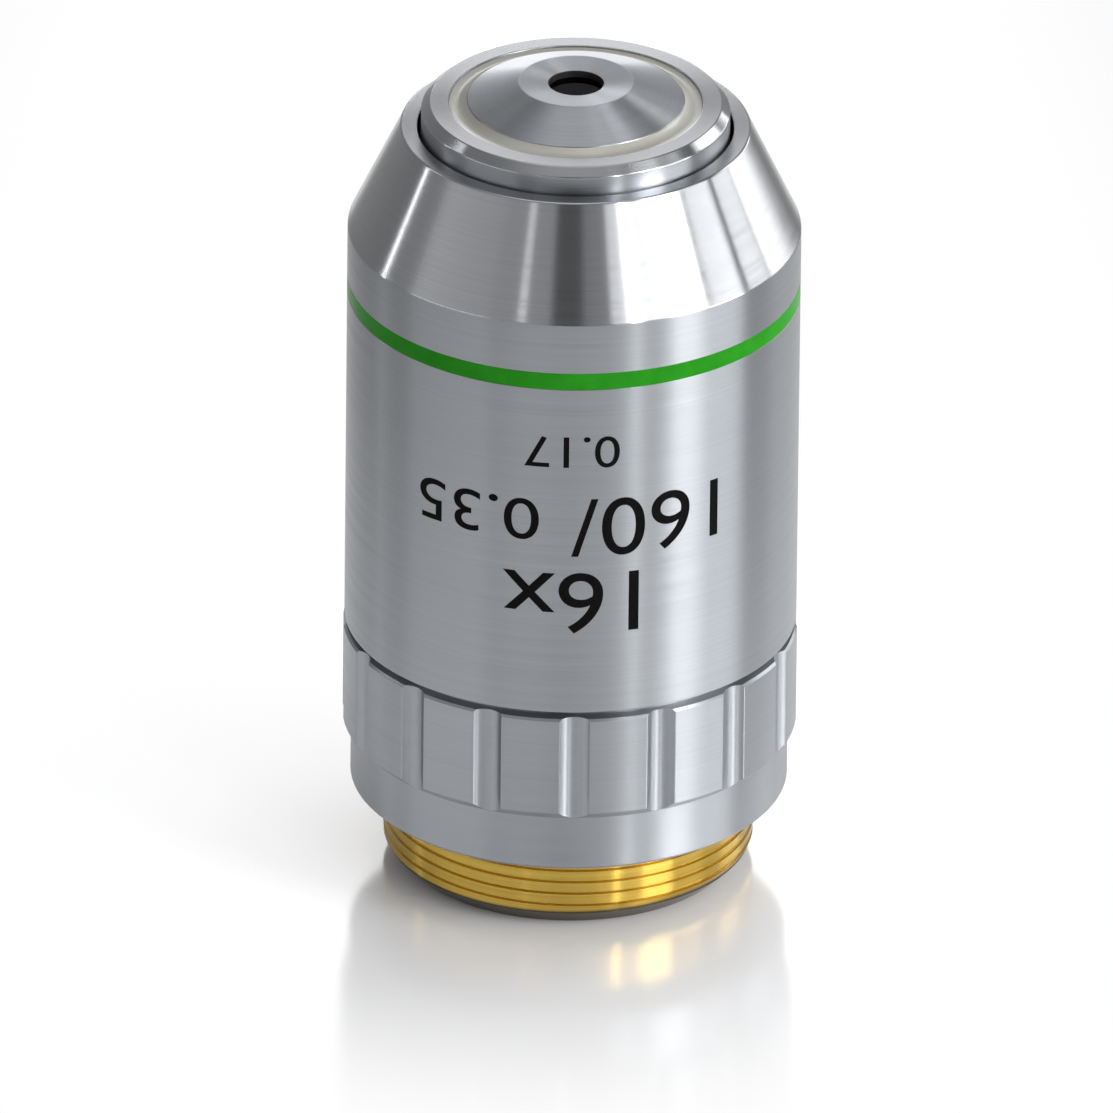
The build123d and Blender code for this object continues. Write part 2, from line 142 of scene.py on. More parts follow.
# Sliding nose
NOSE_RADIUS = 8.44
NOSE_TOP = 41.0
NOSE_BEVEL = 0.46
RIM_BORE = 6.92
RIM_FLOOR = 40.0
LAND_RADIUS = 9.4
LAND_RELIEF = 9.0
LOWER_LAND = 5.5
UPPER_LAND_FOOT = 25.0
SHANK_BORE = 5.96
LIP_FOOT = 38.5
CELL_BORE = 7.0
SLOT_FLOOR = 8.6
SLOT_WIDTH = 1.2
SLOT_CUT = 1.0
SLOT_FOOT = 25.95
SLOT_TOP = 29.25

# Front cell and cement
CELL_RADIUS = 6.98
SHANK_RADIUS = 5.94
SHANK_TOP = 41.18
TIP_RADIUS = 3.15
TIP_TOP = 42.26
DISH_FLOOR = 42.14
PUPIL_RADIUS = 1.5
LENS_SEAT = 41.76
LENS_BORE = 2.3
LENS_VERTEX = 38.96
CELL_MOUTH = 4.6
CELL_FOOT = 36.0
BLACKED_RADIUS = 2.4
CEMENT_TOP = 40.9
CEMENT_HOLLOW = 0.06
CEMENT_CLIMB = 0.24
CEMENT_STEPS = 12

# Spring
SPRING_RADIUS = 8.75
SPRING_WIRE = 0.7
SPRING_PITCH = 1.25

# Eased corners: the corner's place in its section, and the length of the ease
SLEEVE_EASES = {1: 0.1, 2: 0.02, 5: 0.02, 6: 0.06, 7: 0.09, 8: 0.08}
BAND_EASES = {1: 0.04, 2: 0.04}
BUSH_EASES = {0: 0.08, 1: 0.06}
BARREL_EASES = {8: 0.05, 9: 0.05, 10: 0.06}
CELL_EASES = {4: 0.05, 5: 0.06, 6: 0.06}
FLAT_ROW = 0.015
EASE_STEPS = 4

# Fineness of the meshes: steps in a full turn, and welding distances in metres
TURN_STEPS = 288
SPRING_STEPS = 72
WIRE_STEPS = 20
THREAD_STEPS = 144
WELD = 1e-7
NODE_WELD = 1e-6
SECTOR_WELD = 2e-6

# Edges sharper than this many degrees stay sharp in the shading
TURNED_SHARP = 28
GRIP_SHARP = 24
SPRING_SHARP = 40
INNER_SHARP = 24
MARK_SHARP = 30

# Marks: half their thickness, how far their middle lies under the sleeve, and their strips
MARK_HALF = 0.02
MARK_SINK = 0.016
MARK_STRIP = 0.15

# Finishes
NOISE_LOW = 0.3
NOISE_HIGH = 0.7
DRIFT_SHARE = 0.12
LINE_DEPTH = 0.00001
BRUSH_TURN = 0.25
PLATE_LINES = 14000
GLASS_SPOTS = 1500
GLASS_DUST = 0.04
GLASS_SHINE = 0.1

# Camera, fitted to the photograph
VIEW_AZIMUTH = -1.45
VIEW_ELEVATION = 26.9
VIEW_ROLL = 0.61
VIEW_DISTANCE = 2.5
VIEW_WIDTH = 61.02
VIEW_HEIGHT = 14.41
VIEW_RIGHT = -0.79
VIEW_UP = -1.11
SENSOR_WIDTH = 36.0
CLIP_NEAR = 0.1
CLIP_FAR = 20.0

# Floor: it fades to white away from the object, and to grey outside a long pool of light
WHITE_START = 12
WHITE_END = 38
POOL_WIDTH = 32
POOL_LENGTH = 150
POOL_EDGE = 0.35
POOL_FADE = 4.5
FLOOR_REACH = 4.0
FLOOR_INDEX = 1.9
FLOOR_SPOTS = 30

# Brightness of the surroundings: degrees round from the viewer, to the right, and level
AROUND = [
    (-179, 0.7),
    (-168, 0.45),
    (-155, 0.35),
    (-128, 0.3),
    (-112, 0.3),
    (-93, 0.42),
    (-82, 0.64),
    (-62, 0.6),
    (-42, 0.56),
    (-14, 0.55),
    (-11, 0.12),
    (2, 0.12),
    (5, 0.4),
    (24, 0.5),
    (90, 0.3),
    (97, 0.1),
    (122, 0.1),
    (130, 0.4),
    (155, 0.45),
    (168, 0.45),
    (179, 0.7),
]

# Brightness by height: height as the sine of the rise, and level
ABOVE = [(0.5, 0.3), (0.8, 0.3), (0.93, 0.8)]
BLEND_START = 0.42
BLEND_END = 0.7
SKY_BLUE = 1.02

# Lamps: degrees round from the viewer and up, distance, width and height in metres, brightness
LAMP_AIM = 0.02
LAMPS = [
    ("right_box", 56, 22, 0.3, 0.1, 0.26, 9.0),
    ("right_side_box", 80, 24, 0.3, 0.1, 0.24, 1.2),
    ("right_side_low", 77, 2, 0.3, 0.11, 0.05, 10.0),
    ("right_edge_strip", 29, 20, 0.3, 0.012, 0.24, 13.0),
    ("right_front_card", 38, 24, 0.3, 0.125, 0.08, 2.8),
    ("right_back_low", 126, 6, 0.3, 0.19, 0.08, 3.0),
    ("right_gap_card", 100, 10, 0.3, 0.08, 0.045, 3.4),
    ("right_high_box", 121, 29, 0.45, 0.17, 0.15, 3.6),
    ("left_low_card", -64, 2, 0.3, 0.24, 0.05, 1.7),
    ("left_strip", -106, 20, 0.3, 0.008, 0.24, 6.0),
    ("back_box", 180, 9, 0.3, 0.08, 0.19, 3.0),
    ("top_box", 180, 77, 0.5, 0.25, 0.25, 0.6),
    ("right_front_step", 21, 24, 0.3, 0.035, 0.08, 1.5),
    ("left_front_strip", -27, 23, 0.3, 0.02, 0.05, 1.6),
]


# Mesh helpers

def rounded(section, eases):
    """Ease the corners of a closed section; eases gives a corner's length along both its sides.

    A row just beyond each end of an ease keeps the flats beside it flat in their shading.
    """
    points = []
    count = len(section)
    for index, corner in enumerate(section):
        ease = eases.get(index, 0)
        here = Vector(corner)
        if not ease:
            points.append(here)
            continue
        back = (Vector(section[index - 1]) - here).normalized()
        ahead = (Vector(section[(index + 1) % count]) - here).normalized()
        before = here + back * ease
        after = here + ahead * ease
        points.append(before + back * FLAT_ROW)
        for step in range(EASE_STEPS + 1):
            share = step / EASE_STEPS
            points.append(before.lerp(here, share).lerp(here.lerp(after, share), share))
        points.append(after + ahead * FLAT_ROW)
    return points


def finished(name, mesh, sharp=TURNED_SHARP):
    """Put a mesh in the scene as one piece, smooth but for its sharp edges."""
    mesh.name = name
    for polygon in mesh.polygons:
        polygon.use_smooth = True
    mesh.set_sharp_from_angle(angle=math.radians(sharp))
    piece = bpy.data.objects.new(name, mesh)
    scene.collection.objects.link(piece)
    return piece


def plain_mesh(name, shape):
    """Turn a bmesh into a mesh as it is."""
    mesh = bpy.data.meshes.new(name)
    shape.to_mesh(mesh)
    shape.free()
    return mesh


def from_mesh(mesh):
    """A bmesh of a mesh."""
    shape = bmesh.new()
    shape.from_mesh(mesh)
    return shape


def face_outwards(shape):
    """Point a bmesh's faces outwards."""
    bmesh.ops.recalc_face_normals(shape, faces=shape.faces)


def from_bmesh(shape):
    """Close a bmesh into a mesh with its faces pointing outwards."""
    bmesh.ops.remove_doubles(shape, verts=shape.verts, dist=WELD)
    face_outwards(shape)
    return plain_mesh("shape", shape)


def columns_shape(columns, closed):
    """Join half sections, each an angle and its (radius, height) points, into one skin."""
    shape = bmesh.new()
    rings = []
    for angle, section in columns:
        ring = []
        for radius, height in section:
            place = Vector((radius * math.sin(angle), -radius * math.cos(angle), height)) * MM
            ring.append(shape.verts.new(place))
        rings.append(ring)
    pairs = list(zip(rings, rings[1:]))
    if closed:
        pairs.append((rings[-1], rings[0]))
    for left, right in pairs:
        for index in range(len(left)):
            after = (index + 1) % len(left)
            shape.faces.new((left[index], left[after], right[after], right[index]))
    return shape


def turned_shape(section, eases):
    """A skin turned about the axis from a closed half section."""
    points = rounded(section, eases)
    columns = [(2 * math.pi * step / TURN_STEPS, points) for step in range(TURN_STEPS)]
    return columns_shape(columns, True)


def turned(name, section, eases):
    """A piece turned about the axis from a closed half section."""
    return finished(name, from_bmesh(turned_shape(section, eases)))


# Geometry node helpers

def new_tree(name, inputs):
    """A geometry node tree with a geometry input, the named number inputs and a material."""
    tree = bpy.data.node_groups.new(name, "GeometryNodeTree")
    tree.interface.new_socket("Geometry", in_out="INPUT", socket_type="NodeSocketGeometry")
    for label in inputs:
        tree.interface.new_socket(label, in_out="INPUT", socket_type="NodeSocketFloat")
    tree.interface.new_socket("Material", in_out="INPUT", socket_type="NodeSocketMaterial")
    tree.interface.new_socket("Geometry", in_out="OUTPUT", socket_type="NodeSocketGeometry")
    return tree


def add(tree, kind, links=None, **settings):
    """Add a node, set its properties and link or set its inputs by name or index."""
    node = tree.nodes.new(kind)
    for key, value in settings.items():
        setattr(node, key, value)
    for key, value in (links or {}).items():
        if isinstance(value, bpy.types.NodeSocket):
            tree.links.new(value, node.inputs[key])
        else:
            node.inputs[key].default_value = value
    return node


def math_node(tree, operation, first, second=0.0):
    """A math node's output for one or two values or sockets."""
    return add(tree, "ShaderNodeMath", {0: first, 1: second}, operation=operation).outputs[0]


def smooth_step(tree, value, start, stop, low=0.0, high=1.0):
    """A value mapped smoothly from start and stop to low and high."""
    limits = {"From Min": start, "From Max": stop, "To Min": low, "To Max": high}
    node = add(tree, "ShaderNodeMapRange", {"Value": value, **limits}, interpolation_type="SMOOTHSTEP")
    return node.outputs[0]


def off_axis(tree, parts):
    """Distance from the axis, for the parts of a place."""
    across = math_node(tree, "MULTIPLY", parts.outputs["X"], parts.outputs["X"])
    deep = math_node(tree, "MULTIPLY", parts.outputs["Y"], parts.outputs["Y"])
    return math_node(tree, "SQRT", math_node(tree, "ADD", across, deep))


def close_tree(tree, geometry, entry):
    """End a tree in realised geometry with its material set."""
    real = add(tree, "GeometryNodeRealizeInstances", {"Geometry": geometry})
    painted = add(
        tree,
        "GeometryNodeSetMaterial",
        {"Geometry": real.outputs[0], "Material": entry.outputs["Material"]},
    )
    add(tree, "NodeGroupOutput", {"Geometry": painted.outputs[0]})


def grown(tree, values, material, base=None):
    """Run a tree on a base mesh and return the result as a plain mesh."""
    mesh = base or bpy.data.meshes.new("seed")
    seed = bpy.data.objects.new("seed", mesh)
    scene.collection.objects.link(seed)
    modifier = seed.modifiers.new("grow", "NODES")
    modifier.node_group = tree
    for item in tree.interface.items_tree:
        if item.in_out == "INPUT" and item.name in values:
            modifier[item.identifier] = values[item.name]
        if item.in_out == "INPUT" and item.name == "Material":
            modifier[item.identifier] = material
    depsgraph = bpy.context.evaluated_depsgraph_get()
    result = bpy.data.meshes.new_from_object(seed.evaluated_get(depsgraph))
    bpy.data.objects.remove(seed)
    return result


# Shader groups

def group_tree(name, inputs, outputs):
    """A shader node group with named number inputs and outputs."""
    tree = bpy.data.node_groups.new(name, "ShaderNodeTree")
    for label in inputs:
        tree.interface.new_socket(label, in_out="INPUT", socket_type="NodeSocketFloat")
    for label in outputs:
        tree.interface.new_socket(label, in_out="OUTPUT", socket_type="NodeSocketFloat")
    return tree


def make_turning_lines():
    """Fine rings left by turning: noise over radius and height only."""
    tree = group_tree("turning_lines", ["Lines Per Metre"], ["Lines", "Drift"])
    entry = tree.nodes.new("NodeGroupInput")
    place = add(tree, "ShaderNodeTexCoord").outputs["Object"]
    parts = add(tree, "ShaderNodeSeparateXYZ", {0: place})
    radius = off_axis(tree, parts)
    flat = add(tree, "ShaderNodeCombineXYZ", {"X": radius, "Z": parts.outputs["Z"]}).outputs[0]
    scale = entry.outputs["Lines Per Metre"]
    rings = add(tree, "ShaderNodeTexNoise", {"Vector": flat, "Scale": scale, "Detail": 2.0})
    slow = math_node(tree, "MULTIPLY", scale, DRIFT_SHARE)
    bands = add(tree, "ShaderNodeTexNoise", {"Vector": flat, "Scale": slow, "Detail": 1.0})
    add(tree, "NodeGroupOutput", {"Lines": rings.outputs[0], "Drift": bands.outputs[0]})
    return tree


def make_mottle():
    """Slow, even mottling for handled, painted and coated surfaces."""
    tree = group_tree("mottle", ["Spots Per Metre"], ["Mottle"])
    entry = tree.nodes.new("NodeGroupInput")
    place = add(tree, "ShaderNodeTexCoord").outputs["Object"]
    spots = add(
        tree,
        "ShaderNodeTexNoise",
        {"Vector": place, "Scale": entry.outputs["Spots Per Metre"], "Detail": 3.0},
    )
    add(tree, "NodeGroupOutput", {"Mottle": spots.outputs[0]})
    return tree


turning_lines = make_turning_lines()
mottle = make_mottle()


def new_material(name):
    """A material with its Principled shader, ready for links."""
    material = bpy.data.materials.new(name)
    material.use_nodes = True
    return material, material.node_tree, material.node_tree.nodes["Principled BSDF"]


def spread(tree, value, low, high):
    """Map the middle of a noise's range to a range of values."""
    limits = {"From Min": NOISE_LOW, "From Max": NOISE_HIGH, "To Min": low, "To Max": high}
    return add(tree, "ShaderNodeMapRange", {"Value": value, **limits}).outputs[0]


def tint(tree, value, dark, light):
    """Mix two colours over the middle of a noise's range."""
    ramp = tree.nodes.new("ShaderNodeValToRGB")
    low, high = ramp.color_ramp.elements
    low.position = NOISE_LOW
    high.position = NOISE_HIGH
    low.color = (*dark, 1)
    high.color = (*light, 1)
    tree.links.new(value, ramp.inputs[0])
    return ramp.outputs[0]


def turned_metal(name, dark, light, rough, lines, relief, brushed):
    """Metal with turning lines: colours, roughness range, line density, bump and brushing."""
    material, tree, shader = new_material(name)
    group = add(tree, "ShaderNodeGroup", node_tree=turning_lines)
    group.inputs["Lines Per Metre"].default_value = lines
    ring, drift = group.outputs["Lines"], group.outputs["Drift"]
    tree.links.new(tint(tree, ring, dark, light), shader.inputs["Base Color"])
    tree.links.new(spread(tree, drift, *rough), shader.inputs["Roughness"])
    bump = add(tree, "ShaderNodeBump", {"Height": ring, "Strength": relief, "Distance": LINE_DEPTH})
    tree.links.new(bump.outputs[0], shader.inputs["Normal"])
    shader.inputs["Metallic"].default_value = 1.0
    shader.inputs["Anisotropic"].default_value = brushed
    shader.inputs["Anisotropic Rotation"].default_value = BRUSH_TURN
    return material


def paint_shade_below(material, top, foot, colour):
    """Paint shade into a material below a height, over the stretch from top to foot in millimetres."""
    tree = material.node_tree
    shader = tree.nodes["Principled BSDF"]
    unshaded_colour = shader.inputs["Base Color"].links[0].from_socket
    place = add(tree, "ShaderNodeTexCoord").outputs["Object"]
    height = add(tree, "ShaderNodeSeparateXYZ", {0: place}).outputs["Z"]
    depth = smooth_step(tree, height, top * MM, foot * MM)
    shade_mix = add(tree, "ShaderNodeMix", data_type="RGBA")
    tree.links.new(depth, shade_mix.inputs[0])
    tree.links.new(unshaded_colour, shade_mix.inputs["A"])
    shade_mix.inputs["B"].default_value = (*colour, 1)
    tree.links.new(shade_mix.outputs["Result"], shader.inputs["Base Color"])


def mottled(name, dark, light, rough, spots, shine=0.5):
    """A painted or cast surface with slow mottling; shine is the strength of its gloss."""
    material, tree, shader = new_material(name)
    group = add(tree, "ShaderNodeGroup", node_tree=mottle)
    group.inputs["Spots Per Metre"].default_value = spots
    spot = group.outputs["Mottle"]
    tree.links.new(tint(tree, spot, dark, light), shader.inputs["Base Color"])
    tree.links.new(spread(tree, spot, *rough), shader.inputs["Roughness"])
    shader.inputs["Specular IOR Level"].default_value = shine
    return material


satin_plate = turned_metal(
    "satin_plate", (0.355, 0.373, 0.396), (0.385, 0.403, 0.426), (0.33, 0.37), PLATE_LINES, 0.06, 0.95
)
# Partly painted light: the cone and the nose's rim get a smoother plate, and a lighter colour for the
# light falling on these upward faces
cone_plate_lit = turned_metal(
    "cone_plate_lit", (0.38, 0.39, 0.405), (0.41, 0.42, 0.435), (0.18, 0.21), PLATE_LINES, 0.05, 0.9
)
thread_brass = turned_metal(
    "thread_brass", (0.52, 0.345, 0.062), (0.68, 0.465, 0.1), (0.14, 0.19), 9000, 0.1, 0.85
)
# Painted shade: the brass darkens towards its foot, standing for the dark floor reflected in the lead
# chamfer
paint_shade_below(thread_brass, THREAD_SHADE_TOP, THREAD_SHADE_FOOT, (0.1, 0.08, 0.05))
spring_steel = turned_metal(
    "spring_steel", (0.42, 0.42, 0.43), (0.52, 0.52, 0.53), (0.25, 0.35), 4000, 0.1, 0.0
)
band_enamel = mottled(
    "band_enamel", (0.011, 0.18, 0.004), (0.014, 0.22, 0.006), (0.3, 0.38), 900, 0.1
)
black_metal = mottled(
    "black_metal", (0.012, 0.012, 0.013), (0.022, 0.022, 0.024), (0.42, 0.55), 2500, 0.2
)
rim_cement = mottled("rim_cement", (0.34, 0.335, 0.29), (0.4, 0.4, 0.365), (0.2, 0.24), 260)
mark_paint = mottled(
    "mark_paint", (0.001, 0.001, 0.001), (0.003, 0.003, 0.004), (0.5, 0.65), 3000, 0.06
)


def make_glass(name, dark, light, index):
    """Coated optical glass with a trace of dust in its polish."""
    material, tree, shader = new_material(name)
    group = add(tree, "ShaderNodeGroup", node_tree=mottle)
    group.inputs["Spots Per Metre"].default_value = GLASS_SPOTS
    spot = group.outputs["Mottle"]
    tree.links.new(spread(tree, spot, 0.0, GLASS_DUST), shader.inputs["Roughness"])
    tree.links.new(tint(tree, spot, dark, light), shader.inputs["Base Color"])
    shader.inputs["Transmission Weight"].default_value = 1.0
    shader.inputs["IOR"].default_value = index
    shader.inputs["Specular IOR Level"].default_value = GLASS_SHINE
    return material


lens_glass = make_glass("lens_glass", (0.86, 0.9, 0.89), (0.92, 0.95, 0.94), 1.52)
# Painted shade: the front lens is near black, standing for the dark inside of the objective seen through
# it
front_glass_painted_dark = make_glass("front_glass_painted_dark", (0.03, 0.032, 0.032), (0.04, 0.042, 0.042), 1.12)
SLOT_MATERIALS = {
    "satin_plate": satin_plate,
    "thread_brass": thread_brass,
    "band_enamel": band_enamel,
    "black_metal": black_metal,
    "spring_steel": spring_steel,
    "lens_glass": lens_glass,
    "rim_cement": rim_cement,
}


def dress(piece, material, slot, body, *nodes):
    """Give a piece its material and body, and hide the nodes it stands for; slot is not used."""
    piece.data.materials.clear()
    piece.data.materials.append(material)
    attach(piece, body)
    if nodes:
        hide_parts(*nodes)


def paint_faces(piece, material, chosen):
    """Give another material to the faces that a rule on radius and height chooses."""
    slot_index = len(piece.data.materials)
    piece.data.materials.append(material)
    for polygon in piece.data.polygons:
        middle = polygon.center / MM
        if chosen(math.hypot(middle.x, middle.y), middle.z):
            polygon.material_index = slot_index


# Sleeve and colour band
sleeve_section = [
    (SLEEVE_BORE, SLEEVE_FOOT),
    (SLEEVE_RADIUS, SLEEVE_FOOT),
    (SLEEVE_RADIUS, BAND_FOOT),
    (SLEEVE_RADIUS - BAND_GROOVE, BAND_FOOT),
    (SLEEVE_RADIUS - BAND_GROOVE, BAND_TOP),
    (SLEEVE_RADIUS, BAND_TOP),
    (SLEEVE_RADIUS, CONE_FOOT),
    (CONE_TOP_RADIUS, SLEEVE_TOP),
    (MOUTH_RADIUS, SLEEVE_TOP),
    (MOUTH_RADIUS, MOUTH_FOOT),
    (SLEEVE_BORE, BORE_TOP),
]
sleeve = turned("plated_sleeve", sleeve_section, SLEEVE_EASES)
dress(sleeve, satin_plate, "satin_plate", "sleeve_body", "outer_sleeve")
# The cone takes the smoother plate with its painted lighter colour
paint_faces(sleeve, cone_plate_lit, lambda radius, height: height > CONE_FOOT)
# Painted shade: the bore inside the mouth is black, darkening the gap round the nose; its top edge keeps
# the plate
paint_faces(
    sleeve,
    black_metal,
    lambda radius, height: radius < MOUTH_RADIUS + FIT_GAP and height < MOUTH_SHINE,
)

band_bore = SLEEVE_RADIUS - BAND_GROOVE + FIT_GAP
band_section = [
    (band_bore, BAND_FOOT),
    (SLEEVE_RADIUS, BAND_FOOT),
    (SLEEVE_RADIUS, BAND_TOP),
    (band_bore, BAND_TOP),
]
band = turned("green_band", band_section, BAND_EASES)
dress(band, band_enamel, "band_enamel", "sleeve_body", "colour_band")


# Fluted grip: one sector, repeated round the axis
flute_axis = GRIP_RADIUS - FLUTE_DEPTH + FLUTE_CUTTER


def flute_radius(angle):
    """Radius of the grip at an angle from the middle of a flute, with its edges eased."""
    inside = FLUTE_CUTTER**2 - (flute_axis * math.sin(angle)) ** 2
    if inside <= 0:
        return GRIP_RADIUS
    hollow = flute_axis * math.cos(angle) - math.sqrt(inside)
    blend = max(FLUTE_EASE - abs(hollow - GRIP_RADIUS), 0) / FLUTE_EASE
    return min(hollow, GRIP_RADIUS) - blend * blend * FLUTE_EASE / 4


def grip_section(angle):
    """Half section of the grip body at an angle from the middle of a flute."""
    wall = flute_radius(angle)
    bevel = GRIP_TOP - GRIP_EDGE
    flare = (FLARE_TOP - RING_HEIGHT) / (GRIP_RADIUS - RING_RADIUS)
    flare_end = RING_HEIGHT + (wall - RING_RADIUS) * flare
    wall_top = min(GRIP_EDGE + GRIP_RADIUS - wall, GRIP_TOP)
    return [
        (BUSH_RADIUS + BUSH_GAP, SEAT_RECESS),
        (RECESS_RADIUS, SEAT_RECESS),
        (RECESS_RADIUS, 0),
        (RING_RADIUS - RING_EDGE, 0),
        (RING_RADIUS, RING_EDGE),
        (RING_RADIUS, RING_HEIGHT),
        (wall, flare_end),
        (wall, wall_top),
        (min(wall, GRIP_RADIUS - bevel), GRIP_TOP),
        (NECK_RADIUS, GRIP_TOP),
        (NECK_RADIUS, SLEEVE_FOOT),
        (SPIGOT_RADIUS, SLEEVE_FOOT),
        (SPIGOT_RADIUS, SPIGOT_TOP),
        (TUBE_RADIUS, SPIGOT_TOP),
        (TUBE_RADIUS, TUBE_TOP),
        (STOP_BORE, TUBE_TOP),
        (STOP_BORE, STOP_FOOT),
        (GUIDE_BORE, STOP_FOOT),
        (GUIDE_BORE, WEB_TOP),
        (WEB_BORE, WEB_TOP),
        (WEB_BORE, BUSH_TOP),
        (BUSH_RADIUS + BUSH_GAP, BUSH_TOP),
    ]


def make_ring_pattern():
    """Repeat a sector round the axis and weld the copies into one skin."""
    tree = new_tree("ring_pattern", ["Copies"])
    entry = tree.nodes.new("NodeGroupInput")
    points = add(tree, "GeometryNodePoints", {"Count": entry.outputs["Copies"]})
    turn = math_node(tree, "DIVIDE", 2 * math.pi, entry.outputs["Copies"])
    index = add(tree, "GeometryNodeInputIndex").outputs[0]
    angle = math_node(tree, "MULTIPLY", index, turn)
    rotation = add(tree, "ShaderNodeCombineXYZ", {"Z": angle})
    copies = add(
        tree,
        "GeometryNodeInstanceOnPoints",
        {
            "Points": points.outputs[0],
            "Instance": entry.outputs["Geometry"],
            "Rotation": rotation.outputs[0],
        },
    )
    real = add(tree, "GeometryNodeRealizeInstances", {"Geometry": copies.outputs[0]})
    welded = add(
        tree,
        "GeometryNodeMergeByDistance",
        {"Geometry": real.outputs[0], "Distance": SECTOR_WELD},
    )
    close_tree(tree, welded.outputs[0], entry)
    return tree


flute_half = math.acos(
    (GRIP_RADIUS**2 + flute_axis**2 - FLUTE_CUTTER**2) / (2 * GRIP_RADIUS * flute_axis)
)
sector_half = math.pi / FLUTES
flute_turns = [math.pi / 2 * step / FLUTE_STEPS for step in range(FLUTE_STEPS + 1)]
half_angles = [flute_half * FLUTE_MARGIN * math.sin(turn) for turn in flute_turns]
land_start = half_angles[-1]
for step in range(1, LAND_STEPS + 1):
    half_angles.append(land_start + (sector_half - land_start) * step / LAND_STEPS)
sector_angles = [-angle for angle in reversed(half_angles[1:])] + half_angles
sector_shape = columns_shape([(angle, grip_section(angle)) for angle in sector_angles], False)
face_outwards(sector_shape)
sector_mesh = plain_mesh("sector", sector_shape)
grip_skin = grown(make_ring_pattern(), {"Copies": float(FLUTES)}, satin_plate, sector_mesh)
grip = finished("fluted_grip", from_bmesh(from_mesh(grip_skin)), GRIP_SHARP)
dress(grip, satin_plate, "satin_plate", "sleeve_body", "grip_body")


# Helical sweeps

def helix(tree, radius, turns, height, steps):
    """A right-handed helix curve about the axis, standing on the seed's origin."""
    spiral = add(
        tree,
        "GeometryNodeCurveSpiral",
        {
            "Resolution": steps,
            "Rotations": turns,
            "Start Radius": radius,
            "End Radius": radius,
            "Height": height,
            "Reverse": False,
        },
    )
    upright = add(tree, "GeometryNodeSetCurveNormal", {"Curve": spiral.outputs[0]}, mode="Z_UP")
    return upright.outputs[0]


def sweep(tree, path, profile, foot):
    """Sweep a profile along a path and lift the result to its foot."""
    swept = add(
        tree,
        "GeometryNodeCurveToMesh",
        {"Curve": path, "Profile Curve": profile, "Fill Caps": True},
    )
    lift = add(tree, "ShaderNodeCombineXYZ", {"Z": foot})
    moved = add(
        tree,
        "GeometryNodeSetPosition",
        {"Geometry": swept.outputs[0], "Offset": lift.outputs[0]},
    )
    return moved.outputs[0]


def make_coil_tree():
    """A round wire wound into a spring."""
    tree = new_tree("coil", ["Radius", "Wire", "Turns", "Foot", "Height"])
    entry = tree.nodes.new("NodeGroupInput")
    value = entry.outputs
    path = helix(tree, value["Radius"], value["Turns"], value["Height"], SPRING_STEPS)
    half = math_node(tree, "MULTIPLY", value["Wire"], 0.5)
    wire = add(tree, "GeometryNodeCurvePrimitiveCircle", {"Resolution": WIRE_STEPS, "Radius": half})
    swept = sweep(tree, path, wire.outputs[0], value["Foot"])
    close_tree(tree, swept, entry)
    return tree


def make_ridge_tree():
    """A thread ridge wound on its root, cut back by the lead cone and run out under the relief."""
    labels = ["Radius", "Depth", "Crest", "Base", "Turns", "Foot", "Height"]
    labels += ["Lead Radius", "End", "Top"]
    tree = new_tree("thread_ridge", labels)
    entry = tree.nodes.new("NodeGroupInput")
    value = entry.outputs
    path = helix(tree, value["Radius"], value["Turns"], value["Height"], THREAD_STEPS)
    ridge = add(
        tree,
        "GeometryNodeCurvePrimitiveQuadrilateral",
        {
            "Height": value["Depth"],
            "Bottom Width": value["Base"],
            "Top Width": value["Crest"],
            "Offset": 0.0,
        },
        mode="TRAPEZOID",
    )
    turned_ridge = add(
        tree,
        "GeometryNodeTransform",
        {"Geometry": ridge.outputs[0], "Rotation": (0, 0, math.pi / 2)},
    )
    swept = sweep(tree, path, turned_ridge.outputs[0], value["Foot"])
    place = add(tree, "GeometryNodeInputPosition").outputs[0]
    parts = add(tree, "ShaderNodeSeparateXYZ", {0: place})
    reach = off_axis(tree, parts)
    risen = math_node(tree, "SUBTRACT", parts.outputs["Z"], value["End"])
    lead = math_node(tree, "ADD", value["Lead Radius"], risen)
    below = math_node(tree, "SUBTRACT", value["Top"], parts.outputs["Z"])
    steep = math_node(tree, "MULTIPLY", below, RUNOUT_SLOPE)
    runout = math_node(tree, "ADD", value["Lead Radius"], steep)
    limit = math_node(tree, "MINIMUM", math_node(tree, "MINIMUM", lead, runout), reach)
    share = math_node(tree, "DIVIDE", limit, reach)
    shrink = add(tree, "ShaderNodeCombineXYZ", {"X": share, "Y": share, "Z": 1.0})
    trimmed_place = add(
        tree, "ShaderNodeVectorMath", {0: place, 1: shrink.outputs[0]}, operation="MULTIPLY"
    )
    trimmed = add(
        tree,
        "GeometryNodeSetPosition",
        {"Geometry": swept, "Position": trimmed_place.outputs[0]},
    )
    close_tree(tree, trimmed.outputs[0], entry)
    return tree


